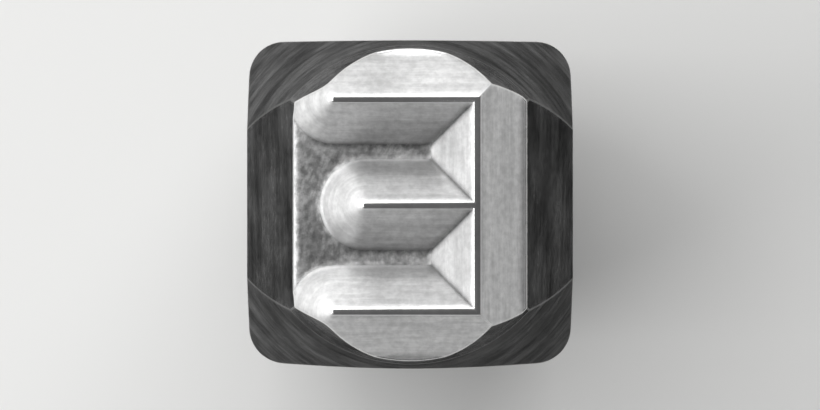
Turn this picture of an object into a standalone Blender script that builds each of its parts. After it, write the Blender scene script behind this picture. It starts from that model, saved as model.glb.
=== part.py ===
"""Square steel hand punch for stamping the letter E.

The punch is one piece of tool steel. It stands on its struck end, with the letter upwards.
Units are metres and +Z is up. The origin is the centre of the struck end. +X is the side
of the letter's spine, so the letter reads reversed from above, as a stamp has to.
"""

import math

import bmesh
import bpy

MM = 0.001

# Bar stock
LENGTH = 64.0 * MM
BAR_WIDTH = 9.5 * MM
BAR_CORNER_RADIUS = 1.0 * MM

# Struck end: a turned bevel round a flat, with the angle measured from the axis
STRUCK_FLAT_DIAMETER = 7.4 * MM
STRUCK_BEVEL_ANGLE = math.radians(30.0)

# Head: a long turned cone, then a steeper turned nose whose foot lies a little under the floor
# that the letter stands on, and two milled flats with the face's width between them at that
# floor. The diameter is at the nose's foot, and the angles are from the axis.
HEAD_DIAMETER = 9.22 * MM
CONE_ANGLE = math.radians(7.3)
NOSE_ANGLE = math.radians(18.5)
NOSE_FOOT_DEPTH = 0.33 * MM
FACE_WIDTH = 6.74 * MM
FLAT_ANGLE = math.radians(15.0)

# Letter: places and lengths of its crest lines, then the section of every stroke
LETTER_HEIGHT = 6.12 * MM
SPINE_OFFSET = 1.93 * MM
OUTER_ARM_LENGTH = 4.1 * MM
MIDDLE_ARM_LENGTH = 3.22 * MM
RELIEF_HEIGHT = 1.24 * MM
FLANK_ANGLE = math.radians(45.0)
CREST_WIDTH = 0.16 * MM

# How finely round forms are faceted
TURNED_SIDES = 144
BAR_CORNER_STEPS = 12
STROKE_END_STEPS = 20
SMOOTH_BELOW = math.radians(9.0)

# How far a form that trims another runs past it
OVERRUN = 0.5 * MM

FLOOR_HEIGHT = LENGTH - RELIEF_HEIGHT


def clear_scene():
    for item in list(bpy.data.objects):
        bpy.data.objects.remove(item)


def steel(name, colour, roughness):
    material = bpy.data.materials.new(name)
    material.use_nodes = True
    shader = material.node_tree.nodes["Principled BSDF"]
    shader.inputs["Base Color"].default_value = (*colour, 1.0)
    shader.inputs["Metallic"].default_value = 1.0
    shader.inputs["Roughness"].default_value = roughness
    return material


def new_object(name, bm, material):
    """An object of its own from a bmesh, with every face turned outwards."""
    bmesh.ops.recalc_face_normals(bm, faces=bm.faces)
    mesh = bpy.data.meshes.new(name)
    bm.to_mesh(mesh)
    bm.free()
    mesh.materials.append(material)
    item = bpy.data.objects.new(name, mesh)
    bpy.context.scene.collection.objects.link(item)
    return item


def loft(outlines):
    """A closed bmesh through flat outlines of equal length, each a height and its points."""
    bm = bmesh.new()
    rings = [[bm.verts.new((x, y, z)) for x, y in points] for z, points in outlines]
    for lower, upper in zip(rings, rings[1:]):
        for i in range(len(lower)):
            bm.faces.new((lower[i - 1], lower[i], upper[i], upper[i - 1]))
    bm.faces.new(rings[0])
    bm.faces.new(rings[-1])
    return bm


def arc(centre, radius, start, end, steps):
    """Points of an arc from one angle to another, both ends included."""
    angles = [start + (end - start) * i / steps for i in range(steps + 1)]
    return [(centre[0] + radius * math.cos(a), centre[1] + radius * math.sin(a)) for a in angles]


def placed(point, angle, centre):
    """A point turned by an angle about the origin, then moved to a centre."""
    cosine, sine = math.cos(angle), math.sin(angle)
    x, y = point
    return centre[0] + x * cosine - y * sine, centre[1] + x * sine + y * cosine


def rounded_square(width, radius, steps):
    inset = width / 2 - radius
    points = []
    for quarter in range(4):
        start = quarter * math.pi / 2
        centre_angle = start + math.pi / 4
        centre = (
            math.copysign(inset, math.cos(centre_angle)),
            math.copysign(inset, math.sin(centre_angle)),
        )
        points += arc(centre, radius, start, start + math.pi / 2, steps)
    return points


def square_bar(material):
    """The drawn bar, longer than the punch at both ends."""
    section = rounded_square(BAR_WIDTH, BAR_CORNER_RADIUS, BAR_CORNER_STEPS)
    return new_object("letter_punch", loft([(-OVERRUN, section), (LENGTH + OVERRUN, section)]), material)


def turned_form(material):
    """What the lathe leaves: the bevel at the struck end, then the cone and the nose."""
    clear_radius = BAR_WIDTH / math.sqrt(2) + OVERRUN
    flat_radius = STRUCK_FLAT_DIAMETER / 2
    bevel_height = (clear_radius - flat_radius) / math.tan(STRUCK_BEVEL_ANGLE)
    head_radius = HEAD_DIAMETER / 2
    nose_foot = FLOOR_HEIGHT - NOSE_FOOT_DEPTH
    cone_length = (clear_radius - head_radius) / math.tan(CONE_ANGLE)
    top = LENGTH + OVERRUN
    top_radius = head_radius - (top - nose_foot) * math.tan(NOSE_ANGLE)
    profile = [
        (0.0, flat_radius),
        (bevel_height, clear_radius),
        (nose_foot - cone_length, clear_radius),
        (nose_foot, head_radius),
        (top, top_radius),
    ]
    full_turn = 2 * math.pi * (1 - 1 / TURNED_SIDES)
    rings = [(z, arc((0.0, 0.0), radius, 0.0, full_turn, TURNED_SIDES - 1)) for z, radius in profile]
    return new_object("turned_form", loft(rings), material)


def milled_form(material):
    """The wedge left between the two flats milled on the head, which run along Y."""
    bottom = -2 * OVERRUN
    top = LENGTH + 2 * OVERRUN
    clear_half = BAR_WIDTH / 2 + OVERRUN
    shoulder = FLOOR_HEIGHT - (clear_half - FACE_WIDTH / 2) / math.tan(FLAT_ANGLE)
    top_half = FACE_WIDTH / 2 - (top - FLOOR_HEIGHT) * math.tan(FLAT_ANGLE)

    def rectangle(half_width):
        depth = BAR_WIDTH / 2 + 2 * OVERRUN
        return [(half_width, -depth), (half_width, depth), (-half_width, depth), (-half_width, -depth)]

    half_widths = [(bottom, clear_half), (shoulder, clear_half), (top, top_half)]
    sections = [(height, rectangle(half_width)) for height, half_width in half_widths]
    return new_object("milled_form", loft(sections), material)


def stroke(name, start, end, round_start, round_end, material):
    """One ridge of the letter along its crest line, with one slope all round.

    A free end is half a cone. An end that makes a corner of the letter is square, so its
    hips run at 45 degrees.
    """
    heading = math.atan2(end[1] - start[1], end[0] - start[0])
    root_height = FLOOR_HEIGHT - OVERRUN

    def outline(height):
        reach = CREST_WIDTH / 2 + (LENGTH - height) * math.tan(FLANK_ANGLE)
        points = []
        ends = ((end, round_end, heading), (start, round_start, heading + math.pi))
        for centre, is_round, facing in ends:
            if is_round:
                local = arc((0.0, 0.0), reach, -math.pi / 2, math.pi / 2, STROKE_END_STEPS)
            else:
                local = [(reach, -reach), (reach, reach)]
            points += [placed(point, facing, centre) for point in local]
        return height, points

    return new_object(name, loft([outline(root_height), outline(LENGTH)]), material)


def letter_strokes(material):
    """The spine and the three arms, with the arms pointing towards -X."""
    top = LETTER_HEIGHT / 2
    spine = stroke("spine", (SPINE_OFFSET, -top), (SPINE_OFFSET, top), False, False, material)
    arms = []
    for name, y, length in (
        ("upper_arm", top, OUTER_ARM_LENGTH),
        ("middle_arm", 0.0, MIDDLE_ARM_LENGTH),
        ("lower_arm", -top, OUTER_ARM_LENGTH),
    ):
        root, tip = (SPINE_OFFSET, y), (SPINE_OFFSET - length, y)
        arms.append(stroke(name, root, tip, False, True, material))
    return [spine, *arms]


def engraved_form(material):
    """All that lies under the letter's floor, and the letter standing on it."""
    block = rounded_square(BAR_WIDTH + 6 * OVERRUN, BAR_CORNER_RADIUS, BAR_CORNER_STEPS)
    form = new_object("engraved_form", loft([(-3 * OVERRUN, block), (FLOOR_HEIGHT, block)]), material)
    combine(form, "UNION", letter_strokes(material))
    return form


def combine(item, operation, others):
    """Joins or trims the object with each of the others in turn, and removes them."""
    for other in others:
        other.hide_render = True
        other.display_type = "WIRE"
        modifier = item.modifiers.new(other.name, "BOOLEAN")
        modifier.operation = operation
        modifier.solver = "EXACT"
        modifier.material_mode = "TRANSFER"
        modifier.object = other
    graph = bpy.context.evaluated_depsgraph_get()
    shape = bpy.data.meshes.new_from_object(item.evaluated_get(graph))
    item.modifiers.clear()
    item.data = shape
    for other in others:
        bpy.data.objects.remove(other)


clear_scene()
dark_steel = steel("satin_dark_steel", (0.10, 0.10, 0.10), 0.45)
bright_steel = steel("machined_bright_steel", (0.60, 0.60, 0.59), 0.30)
punch = square_bar(dark_steel)
combine(punch, "INTERSECT", [turned_form(dark_steel), milled_form(dark_steel), engraved_form(bright_steel)])
punch.data.name = punch.name
punch.data.shade_smooth()
punch.data.set_sharp_from_angle(angle=SMOOTH_BELOW)
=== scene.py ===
"""Steel letter punch: the finish that each step of its making leaves on the steel.

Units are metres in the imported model's frame. +Z is up, with the letter on top, and +X is
the side of the letter's spine.
"""

import math

import bmesh
import bpy
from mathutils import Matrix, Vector


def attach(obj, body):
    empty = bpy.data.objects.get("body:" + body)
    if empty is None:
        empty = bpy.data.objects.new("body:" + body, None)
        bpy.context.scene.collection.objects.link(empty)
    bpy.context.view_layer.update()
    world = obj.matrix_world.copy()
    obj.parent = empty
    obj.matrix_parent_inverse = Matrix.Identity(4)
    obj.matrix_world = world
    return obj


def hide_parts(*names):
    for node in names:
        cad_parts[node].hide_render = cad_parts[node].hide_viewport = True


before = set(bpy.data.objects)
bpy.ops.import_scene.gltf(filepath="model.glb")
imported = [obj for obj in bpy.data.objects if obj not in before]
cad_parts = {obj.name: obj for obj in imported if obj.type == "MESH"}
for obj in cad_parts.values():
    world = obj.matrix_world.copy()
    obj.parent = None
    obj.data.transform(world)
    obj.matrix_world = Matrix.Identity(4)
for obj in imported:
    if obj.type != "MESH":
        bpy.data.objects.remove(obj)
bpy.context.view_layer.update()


# The blank is one length of square tool steel, which is sawn, turned, milled and engraved.
# Its solid comes from the frame, with the loose triangles merged back into whole faces.
MM = 0.001
MERGE_DISTANCE = 0.002 * MM
COPLANAR_WITHIN = math.radians(0.4)
LEAST_LEVEL_TILT = 0.97
MICRON_DIGITS = 6


def whole_faces(node):
    """A closed bmesh of the node, with its coplanar triangles dissolved."""
    bm = bmesh.new()
    bm.from_mesh(node.data)
    bmesh.ops.remove_doubles(bm, verts=bm.verts, dist=MERGE_DISTANCE)
    bmesh.ops.dissolve_limit(bm, angle_limit=COPLANAR_WITHIN, verts=bm.verts, edges=bm.edges)
    return bm


def is_level(face):
    return face.normal.z > LEAST_LEVEL_TILT


def level_heights(bm):
    """The heights of the faces that look straight up, highest first, told apart to the micron."""
    heights = {round(face.calc_center_median().z, MICRON_DIGITS) for face in bm.faces if is_level(face)}
    return sorted(heights, reverse=True)


def new_piece(name, bm):
    """An object of its own, at the origin, from a bmesh."""
    mesh = bpy.data.meshes.new(name)
    bm.to_mesh(mesh)
    bm.free()
    item = bpy.data.objects.new(name, mesh)
    bpy.context.scene.collection.objects.link(item)
    return item


steel = whole_faces(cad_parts["letter_punch"])
crest_height, floor_height = level_heights(steel)[:2]


# No outer edge is quite sharp. The letter's crests are stoned to a round, and every other
# arris is broken by hand. The engraving cutter's nose rounds the inner corners a little,
# and the flanks' and the floor's materials show that.
ARRIS_ANGLE = math.radians(9.0)
CREST_ROUNDING = 0.06 * MM
ARRIS_ROUNDING = 0.035 * MM
ROUNDING_STEPS = 4
SAME_HEIGHT = 0.01 * MM
STRAY_CORNER = 0.02 * MM
SURFACE, ARRIS = 0, 1


def is_on_crest(vert):
    return abs(vert.co.z - crest_height) < SAME_HEIGHT


def rounding_of(edge):
    """The width that this edge is rounded to."""
    if not edge.is_convex or edge.calc_face_angle() < ARRIS_ANGLE:
        return 0.0
    return CREST_ROUNDING if all(is_on_crest(vert) for vert in edge.verts) else ARRIS_ROUNDING


def weigh_edges(bm):
    """Writes each edge's rounding as a share of the widest one."""
    weight = bm.edges.layers.float.new("bevel_weight_edge")
    for edge in bm.edges:
        edge[weight] = rounding_of(edge) / CREST_ROUNDING


def baked(item):
    """The item with the result of its modifiers as its mesh, shaded by its faces alone."""
    graph = bpy.context.evaluated_depsgraph_get()
    mesh = bpy.data.meshes.new_from_object(item.evaluated_get(graph))
    carried_normals = mesh.attributes.get("custom_normal")
    if carried_normals:
        mesh.attributes.remove(carried_normals)
    item.modifiers.clear()
    item.data = mesh
    return item


def round_edges(item):
    """Rounds the weighted edges. The new narrow faces carry the index ARRIS."""
    for _ in (SURFACE, ARRIS):
        item.data.materials.append(None)
    rounding = item.modifiers.new("rounding", "BEVEL")
    rounding.limit_method = "WEIGHT"
    rounding.width = CREST_ROUNDING
    rounding.segments = ROUNDING_STEPS
    rounding.use_clamp_overlap = False
    rounding.loop_slide = False
    rounding.material = ARRIS
    rounding.face_strength_mode = "FSTR_AFFECTED"
    return baked(item)


def is_floor_corner(vert):
    """Whether the vertex is a corner of the letter's floor, at its height or nearly so."""
    on_level_face = any(face.material_index == SURFACE and is_level(face) for face in vert.link_faces)
    return on_level_face and abs(vert.co.z - floor_height) < STRAY_CORNER


def level_floor(item):
    """Merges and levels the floor's corners that rounding leaves a few microns astray."""
    bm = bmesh.new()
    bm.from_mesh(item.data)
    corners = [vert for vert in bm.verts if is_floor_corner(vert)]
    for vert in corners:
        vert.co.z = floor_height
    bmesh.ops.remove_doubles(bm, verts=corners, dist=STRAY_CORNER)
    bm.to_mesh(item.data)
    bm.free()


crest_corners = [vert.co.copy() for vert in steel.verts if is_on_crest(vert)]
spine_line = max(corner.x for corner in crest_corners)
arm_line = max(corner.y for corner in crest_corners)
weigh_edges(steel)
punch = new_piece("steel_punch", steel)
round_edges(punch)
level_floor(punch)


# Every finish is steel with the marks of its cut: fine parallel lines that catch the light,
# cloudy patches between them, bare bright metal where handling has worn the outer edges,
# and painted shade that darkens the inner corners.
EDGE_REACH = 0.16 * MM
EDGE_SHADING = (0.01, 0.22)
HANDLED_PATCHES = (0.25, 0.7)
BARE_STEEL = 0.82
BARE_ROUGHNESS = 0.26
# Painted shade at the foot of walls: how far it looks, where it starts and ends, and how dark it gets.
FOOT_REACH = 0.26 * MM
FOOT_SHADING = (0.78, 0.97)
FOOT_PAINTED_SHADE = 0.9
MIDDLE_OF_NOISE = (0.3, 0.7)
CLOUD_SHARE = 1 / 3
GLOSS_CONTRAST = 0.1
LOOKUP_SAMPLES = 8


def add_node(tree, kind, inputs=None, **settings):
    """A node with its settings, and with each named input set to a value or linked."""
    node = tree.nodes.new(kind)
    for name, value in settings.items():
        setattr(node, name, value)
    for name, value in (inputs or {}).items():
        if isinstance(value, bpy.types.NodeSocket):
            tree.links.new(value, node.inputs[name])
        else:
            node.inputs[name].default_value = value
    return node


def calculated(tree, operation, a, b=0.0):
    return add_node(tree, "ShaderNodeMath", {0: a, 1: b}, operation=operation).outputs[0]


def product(tree, result, *factors):
    for factor in factors:
        result = calculated(tree, "MULTIPLY", result, factor)
    return result


def combined(tree, operation, a, b):
    """Two vectors added, subtracted or multiplied."""
    return add_node(tree, "ShaderNodeVectorMath", {0: a, 1: b}, operation=operation).outputs[0]


def eased(tree, value, low, high, start=0.0, end=1.0):
    """The value carried from low..high to start..end, and held beyond it."""
    inputs = {"Value": value, "From Min": low, "From Max": high, "To Min": start, "To Max": end}
    return add_node(tree, "ShaderNodeMapRange", inputs, interpolation_type="SMOOTHSTEP").outputs[0]


def blended(tree, share, a, b):
    node = add_node(tree, "ShaderNodeMix", {0: share, 2: a, 3: b}, data_type="FLOAT")
    return node.outputs[0]


def millimetres(tree):
    """The place on the punch, in millimetres."""
    place = add_node(tree, "ShaderNodeTexCoord").outputs["Object"]
    inputs = {0: place, "Scale": 1 / MM}
    return add_node(tree, "ShaderNodeVectorMath", inputs, operation="SCALE").outputs[0]


def noise(tree, place, per_mm, detail, roughness):
    """Noise with its own number of grains to the millimetre along each direction."""
    stretched = combined(tree, "MULTIPLY", place, per_mm)
    inputs = {"Vector": stretched, "Scale": 1.0, "Detail": detail, "Roughness": roughness}
    return add_node(tree, "ShaderNodeTexNoise", inputs).outputs[0]


def varied(tree, marks, contrast):
    """A factor about one, which follows the marks."""
    return eased(tree, marks, *MIDDLE_OF_NOISE, 1.0 - contrast, 1.0 + contrast)


def surroundings(tree, reach, inside):
    """How free the space within reach is, outside the steel or inside it."""
    settings = {"samples": LOOKUP_SAMPLES, "only_local": True, "inside": inside}
    return add_node(tree, "ShaderNodeAmbientOcclusion", {"Distance": reach}, **settings).outputs["AO"]


def closeness_to_edges(tree, place, reach):
    """One where an outer edge has been handled bright, and nought away from edges."""
    nearness = calculated(tree, "SUBTRACT", 1.0, surroundings(tree, reach, inside=True))
    patches = noise(tree, place, per_mm=(1.5, 1.5, 1.5), detail=4.0, roughness=0.65)
    handling = eased(tree, patches, *HANDLED_PATCHES)
    return eased(tree, product(tree, nearness, handling), *EDGE_SHADING)


def openness(tree):
    """One on an open face, and less at the foot of a wall, where shade is painted."""
    return eased(tree, surroundings(tree, FOOT_REACH, inside=False), *FOOT_SHADING)


def new_steel(
    name,
    base,
    roughness,
    edge_tint,
    marks,
    depth,
    contrast=0.10,
    speckle=0.04,
    wear=0.5,
    corner_shade=FOOT_PAINTED_SHADE,
    nose=0.0,
    reach=EDGE_REACH,
):
    """Steel with the marks of one cut.

    Base is its tone, and the edge tint how bright it stays at a glancing angle. Depth is
    the marks' depth. Contrast and speckle are how far the marks and the fine grain change
    the tone. Wear is how much of an edge within reach is rubbed bare, corner shade is how
    dark the painted shade in the inner corners is, and nose is the radius that the cutter
    leaves in them. All lengths are in metres.
    """
    material = bpy.data.materials.new(name)
    material.use_nodes = True
    tree = material.node_tree
    shader = tree.nodes["Principled BSDF"]
    place = millimetres(tree)
    lines = marks(tree, place)
    clouds = noise(tree, place, per_mm=(0.6, 0.6, 0.6), detail=2.0, roughness=0.5)
    grain = noise(tree, place, per_mm=(5.0, 5.0, 5.0), detail=4.0, roughness=0.6)

    rubbed = product(tree, closeness_to_edges(tree, place, reach), wear)
    # Painted shade: the tone darkens at the foot of walls and in the inner corners.
    unshaded = eased(tree, openness(tree), 0.0, 1.0, 1.0 - corner_shade, 1.0)
    tone = product(tree, varied(tree, lines, contrast), base)
    tone = product(tree, tone, varied(tree, clouds, contrast * CLOUD_SHARE))
    tone = product(tree, tone, varied(tree, grain, speckle), unshaded)
    tone = blended(tree, rubbed, tone, BARE_STEEL)
    gloss = product(tree, varied(tree, clouds, GLOSS_CONTRAST), roughness)
    gloss = blended(tree, rubbed, gloss, BARE_ROUGHNESS)

    height = blended(tree, speckle, lines, grain)
    bump = add_node(tree, "ShaderNodeBump", {"Height": height, "Distance": depth, "Strength": 1.0})
    if nose:
        blend = add_node(tree, "ShaderNodeBevel", {"Radius": nose}, samples=LOOKUP_SAMPLES)
        tree.links.new(blend.outputs["Normal"], bump.inputs["Normal"])
    colour = add_node(tree, "ShaderNodeCombineColor", {0: tone, 1: tone, 2: tone}).outputs[0]
    tree.links.new(colour, shader.inputs["Base Color"])
    tree.links.new(gloss, shader.inputs["Roughness"])
    tree.links.new(bump.outputs[0], shader.inputs["Normal"])
    shader.inputs["Metallic"].default_value = 1.0
    shader.inputs["Specular Tint"].default_value = (edge_tint, edge_tint, edge_tint, 1.0)
    return material


# The shank is drawn bar, whose dark skin is left as it came. The die has drawn fine lines
# along it, and the hand has rubbed its rounded corners a little brighter.
MICRON = 1e-6
# The dark tone is partly the bar's skin and partly painted shade for the dark surroundings that the steep
# sides of the shank and head mirror.
DARK = 0.147
CORNER_REACH = 0.8 * MM


def along_the_bar(tree, place):
    return noise(tree, place, per_mm=(9.0, 9.0, 0.12), detail=4.0, roughness=0.65)


drawn_shank = new_steel(
    "drawn_shank",
    base=DARK,
    roughness=0.44,
    edge_tint=0.1,
    marks=along_the_bar,
    depth=6 * MICRON,
    contrast=0.22,
    speckle=0.06,
    wear=0.22,
    reach=CORNER_REACH,
)


# The head is turned to a long cone and a steeper nose. The turning tool leaves coarse rings
# on them. Their dark, rather dull tone is partly the blacking of the hardened steel and partly
# painted shade for the dark surroundings that these steep faces mirror.
def round_the_axis(tree, place):
    return noise(tree, place, per_mm=(0.25, 0.25, 1.3), detail=6.0, roughness=0.8)


turned_cone = new_steel(
    "turned_cone",
    base=0.165,
    roughness=0.53,
    edge_tint=0.08,
    marks=round_the_axis,
    depth=14 * MICRON,
    contrast=0.4,
    speckle=0.12,
)


# Two flats are milled on the head, left and right of the letter. The cutter was fed along
# Y and leaned a little, and so do the streaks that it left.
FEED_LEAN = math.radians(7.0)


def along_the_flats(tree, place):
    inputs = {"Vector": place, "Angle": FEED_LEAN}
    leaning = add_node(tree, "ShaderNodeVectorRotate", inputs, rotation_type="X_AXIS").outputs[0]
    return noise(tree, leaning, per_mm=(1.6, 0.12, 1.6), detail=5.0, roughness=0.75)


milled_flat = new_steel(
    "milled_flat",
    base=DARK,
    roughness=0.44,
    edge_tint=0.1,
    marks=along_the_flats,
    depth=12 * MICRON,
    contrast=0.3,
    speckle=0.15,
)


# The struck end is faced and bevelled on a lathe, which leaves fine rings about the axis.
# Its edges are rubbed bare, because the punch is set down on them.
ACROSS = (1.0, 1.0, 0.0)
PUNCH_AXIS = (0.0, 0.0, 0.0)


def rings_about(tree, place, centre, per_mm, detail):
    """Noise drawn out along circles about an upright axis through the centre."""
    flat = combined(tree, "MULTIPLY", combined(tree, "SUBTRACT", place, centre), ACROSS)
    radius = add_node(tree, "ShaderNodeVectorMath", {0: flat}, operation="LENGTH").outputs["Value"]
    lifted = add_node(tree, "ShaderNodeCombineXYZ", {"Z": radius}).outputs[0]
    return noise(tree, combined(tree, "ADD", flat, lifted), per_mm, detail, roughness=0.65)


def round_the_end(tree, place):
    return rings_about(tree, place, PUNCH_AXIS, per_mm=(0.2, 0.2, 10.0), detail=3.0)


struck_face = new_steel(
    "struck_face",
    base=DARK,
    roughness=0.40,
    edge_tint=0.1,
    marks=round_the_end,
    depth=6 * MICRON,
    contrast=0.25,
    wear=0.9,
)


# The letter's flanks are engraved bright. The cutter runs beside each crest, so its marks
# are level lines, and its nose leaves a small round along the flanks' foot. The flanks get
# painted shade at their foot, but the outer flanks run off the head and get none.
BRIGHT = 0.66
CUTTER_NOSE = 0.3 * MM


def beside_the_crest(tree, place):
    return noise(tree, place, per_mm=(0.25, 0.25, 4.5), detail=5.0, roughness=0.72)


def new_flank(name, corner_shade):
    return new_steel(
        name,
        base=BRIGHT,
        roughness=0.44,
        edge_tint=0.6,
        marks=beside_the_crest,
        depth=7 * MICRON,
        contrast=0.13,
        speckle=0.1,
        wear=0.8,
        corner_shade=corner_shade,
        nose=CUTTER_NOSE,
    )


engraved_flank = new_flank("engraved_flank", FOOT_PAINTED_SHADE)
outer_flank = new_flank("outer_flank", 0.0)


# The floor between the strokes is cleared with a small end cutter. Its overlapping arcs
# leave the floor bright too, but a little darker and more uneven than the flanks.
CUTTER_SWEEP_CENTRE = (5.0, -2.0, 0.0)


def cutter_sweeps(tree, place):
    return rings_about(tree, place, CUTTER_SWEEP_CENTRE, per_mm=(1.6, 1.6, 5.0), detail=4.0)


cleared_floor = new_steel(
    "cleared_floor",
    base=0.55,
    roughness=0.42,
    edge_tint=0.6,
    marks=cutter_sweeps,
    depth=12 * MICRON,
    contrast=0.25,
    speckle=0.35,
    nose=CUTTER_NOSE,
)


# The crests are stoned, which leaves them the brightest and smoothest. The other rounded
# edges are bright steel too on the letter, and darker where they cut through the bar's skin.
stoned_crest = new_steel(
    "stoned_crest",
    base=0.80,
    roughness=0.22,
    edge_tint=0.9,
    marks=beside_the_crest,
    depth=1 * MICRON,
    contrast=0.05,
    corner_shade=0.0,
)
bright_arris = new_steel(
    "bright_arris",
    base=0.75,
    roughness=0.28,
    edge_tint=0.7,
    marks=beside_the_crest,
    depth=1 * MICRON,
    corner_shade=0.0,
)
dark_arris = new_steel(
    "dark_arris",
    base=0.28,
    roughness=0.34,
    edge_tint=0.3,
    marks=along_the_bar,
    depth=1 * MICRON,
    wear=0.3,
)


# Each cut meets the bar at its own angle, so a face's tilt, the Z of its normal, says which
# tool made it. The outer flanks and the crests are known by their place, and the rounded
# edges by their index.
ANY_TILT = -2.0
LEAST_ENGRAVED_TILT = 0.45
LEAST_TILTS = [
    (struck_face, ANY_TILT),
    (drawn_shank, -0.05),
    (turned_cone, 0.05),
    (milled_flat, 0.2),
    (turned_cone, 0.29),
    (engraved_flank, LEAST_ENGRAVED_TILT),
    (cleared_floor, LEAST_LEVEL_TILT),
]
CREST_MARGIN = 0.1 * MM
EDGE_KIND = "edge_kind"
SHARP_ABOVE = math.radians(30.0)


def finish_tree():
    """Gives each face the finish of the cut that made it."""
    tree = bpy.data.node_groups.new("finish_by_cut", "GeometryNodeTree")
    tree.interface.new_socket("Geometry", in_out="INPUT", socket_type="NodeSocketGeometry")
    tree.interface.new_socket("Geometry", in_out="OUTPUT", socket_type="NodeSocketGeometry")
    for size in ("Crest Foot", "Letter Foot", "Spine Line", "Arm Line"):
        tree.interface.new_socket(size, in_out="INPUT", socket_type="NodeSocketFloat")
    source = tree.nodes.new("NodeGroupInput")
    sink = tree.nodes.new("NodeGroupOutput")
    normal = add_node(tree, "GeometryNodeInputNormal").outputs[0]
    position = add_node(tree, "GeometryNodeInputPosition").outputs[0]
    tilt = add_node(tree, "ShaderNodeSeparateXYZ", {0: normal}).outputs["Z"]
    place = add_node(tree, "ShaderNodeSeparateXYZ", {0: position})
    index = add_node(tree, "GeometryNodeInputMaterialIndex").outputs[0]
    marked = add_node(
        tree,
        "GeometryNodeStoreNamedAttribute",
        {"Geometry": source.outputs["Geometry"], "Name": EDGE_KIND, "Value": index},
        data_type="FLOAT",
        domain="FACE",
    )
    stored = add_node(tree, "GeometryNodeInputNamedAttribute", {"Name": EDGE_KIND}, data_type="FLOAT")

    on_crest = calculated(tree, "GREATER_THAN", place.outputs["Z"], source.outputs["Crest Foot"])
    on_letter = calculated(tree, "GREATER_THAN", place.outputs["Z"], source.outputs["Letter Foot"])
    beside_spine = calculated(tree, "GREATER_THAN", place.outputs["X"], source.outputs["Spine Line"])
    sideways = calculated(tree, "ABSOLUTE", place.outputs["Y"])
    beyond_arms = calculated(tree, "GREATER_THAN", sideways, source.outputs["Arm Line"])
    outside = calculated(tree, "MAXIMUM", beside_spine, beyond_arms)
    looks_up = calculated(tree, "GREATER_THAN", tilt, LEAST_ENGRAVED_TILT)
    lies_level = calculated(tree, "GREATER_THAN", tilt, LEAST_LEVEL_TILT)
    is_arris = calculated(tree, "COMPARE", stored.outputs[0], float(ARRIS))

    steps = [(material, calculated(tree, "GREATER_THAN", tilt, least)) for material, least in LEAST_TILTS]
    steps += [
        (outer_flank, product(tree, outside, looks_up)),
        (dark_arris, is_arris),
        (bright_arris, product(tree, is_arris, on_letter)),
        (stoned_crest, product(tree, lies_level, on_crest)),
        (stoned_crest, product(tree, is_arris, on_crest)),
    ]
    flow = add_node(tree, "GeometryNodeRealizeInstances", {"Geometry": marked.outputs[0]}).outputs[0]
    for material, selection in steps:
        inputs = {"Geometry": flow, "Selection": selection, "Material": material}
        flow = add_node(tree, "GeometryNodeSetMaterial", inputs).outputs[0]
    tree.links.new(flow, sink.inputs[0])
    return tree


def finish(item, tree, **sizes):
    """Runs the tree on the item with the tree's named sizes set."""
    modifier = item.modifiers.new(tree.name, "NODES")
    modifier.node_group = tree
    sockets = {socket.name: socket.identifier for socket in tree.interface.items_tree}
    for name, value in sizes.items():
        modifier[sockets[name.replace("_", " ").title()]] = value
    return baked(item)


finish(
    punch,
    finish_tree(),
    crest_foot=crest_height - CREST_MARGIN,
    letter_foot=floor_height - ARRIS_ROUNDING,
    spine_line=spine_line,
    arm_line=arm_line,
)
punch.data.shade_smooth()
punch.data.set_sharp_from_angle(angle=SHARP_ABOVE)
weighted = punch.modifiers.new("weighted", "WEIGHTED_NORMAL")
weighted.keep_sharp = True
weighted.use_face_influence = True
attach(punch, "root")
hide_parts("letter_punch")


# The floor is a plain pale disc under the struck end. It is matt, so it takes the punch's
# soft shadow and sends a little light back up the shank.
FLOOR_RADIUS = 0.6
FLOOR_SIDES = 96
FLOOR_COLOUR = (0.82, 0.82, 0.81, 1.0)
FLOOR_ROUGHNESS = 0.9
FLOOR_SHINE = 0.2


def pale_floor():
    bm = bmesh.new()
    bmesh.ops.create_circle(bm, cap_ends=True, segments=FLOOR_SIDES, radius=FLOOR_RADIUS)
    floor = new_piece("floor", bm)
    material = bpy.data.materials.new("pale_floor")
    material.use_nodes = True
    shader = material.node_tree.nodes["Principled BSDF"]
    shader.inputs["Base Color"].default_value = FLOOR_COLOUR
    shader.inputs["Roughness"].default_value = FLOOR_ROUGHNESS
    shader.inputs["Specular IOR Level"].default_value = FLOOR_SHINE
    floor.data.materials.append(material)
    return floor


pale_floor()


# Two large soft boxes light the head, one from the left and a weaker one from beyond the
# punch, at the top of the picture.
HEAD = Vector((0.0, 0.0, crest_height))
BOX_LIFT = math.radians(38.0)
BOX_DISTANCE = 0.5
BOX_WIDTH = 0.7
BOX_HEIGHT = 0.4


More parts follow.
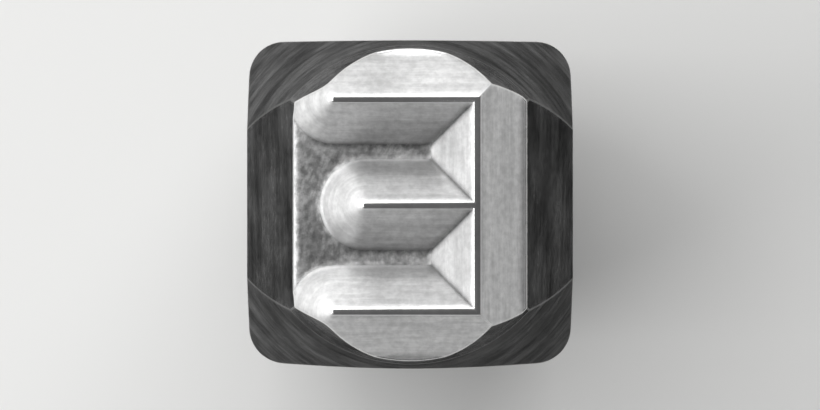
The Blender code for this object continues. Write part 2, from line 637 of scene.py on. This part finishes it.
def soft_box(name, azimuth, radiance):
    """A rectangular lamp that faces the head. The azimuth turns from +X towards +Y."""
    turn = math.radians(azimuth)
    level = math.cos(BOX_LIFT)
    way = Vector((math.cos(turn) * level, math.sin(turn) * level, math.sin(BOX_LIFT)))
    lamp = bpy.data.lights.new(name, "AREA")
    lamp.shape = "RECTANGLE"
    lamp.size = BOX_WIDTH
    lamp.size_y = BOX_HEIGHT
    lamp.energy = radiance * math.pi * BOX_WIDTH * BOX_HEIGHT
    item = bpy.data.objects.new(name, lamp)
    item.location = HEAD + way * BOX_DISTANCE
    item.rotation_euler = (-way).to_track_quat("-Z", "Y").to_euler()
    item.visible_camera = False
    bpy.context.scene.collection.objects.link(item)


soft_box("left_box", azimuth=175.0, radiance=2.85)
soft_box("top_box", azimuth=95.0, radiance=2.6)


# The room is plain and pale, and darker overhead, where a flat bright face would otherwise
# mirror a white ceiling.
WHITE = (1.0, 1.0, 1.0, 1.0)
HORIZON_STRENGTH = 0.66
OVERHEAD_STRENGTH = 0.1
DARKER_FROM = 0.15
DARKEST_FROM = 0.6
world = bpy.data.worlds.new("studio")
bpy.context.scene.world = world
world.use_nodes = True
room = world.node_tree
way_out = add_node(room, "ShaderNodeTexCoord").outputs["Generated"]
rise = add_node(room, "ShaderNodeSeparateXYZ", {0: way_out}).outputs["Z"]
strength = eased(room, rise, DARKER_FROM, DARKEST_FROM, HORIZON_STRENGTH, OVERHEAD_STRENGTH)
background = room.nodes["Background"]
background.inputs["Color"].default_value = WHITE
room.links.new(strength, background.inputs["Strength"])


# The camera looks straight down on the letter from far off, as in the photograph, apart
# from a third of a degree towards +Y.
LENS = 750.0
SENSOR_WIDTH = 36.0
FRAME_WIDTH = 0.0236
CLIP_START = 0.05
LEAN = math.radians(0.31)
camera = bpy.data.cameras.new("camera")
camera.lens = LENS
camera.sensor_width = SENSOR_WIDTH
camera.clip_start = CLIP_START
camera_item = bpy.data.objects.new("camera", camera)
bpy.context.scene.collection.objects.link(camera_item)
distance = FRAME_WIDTH * LENS / SENSOR_WIDTH
camera_item.location = HEAD + Vector((0.0, math.sin(LEAN), math.cos(LEAN))) * distance
camera_item.rotation_euler = (-LEAN, 0.0, 0.0)
bpy.context.scene.camera = camera_item

bpy.context.scene.view_settings.view_transform = "Standard"
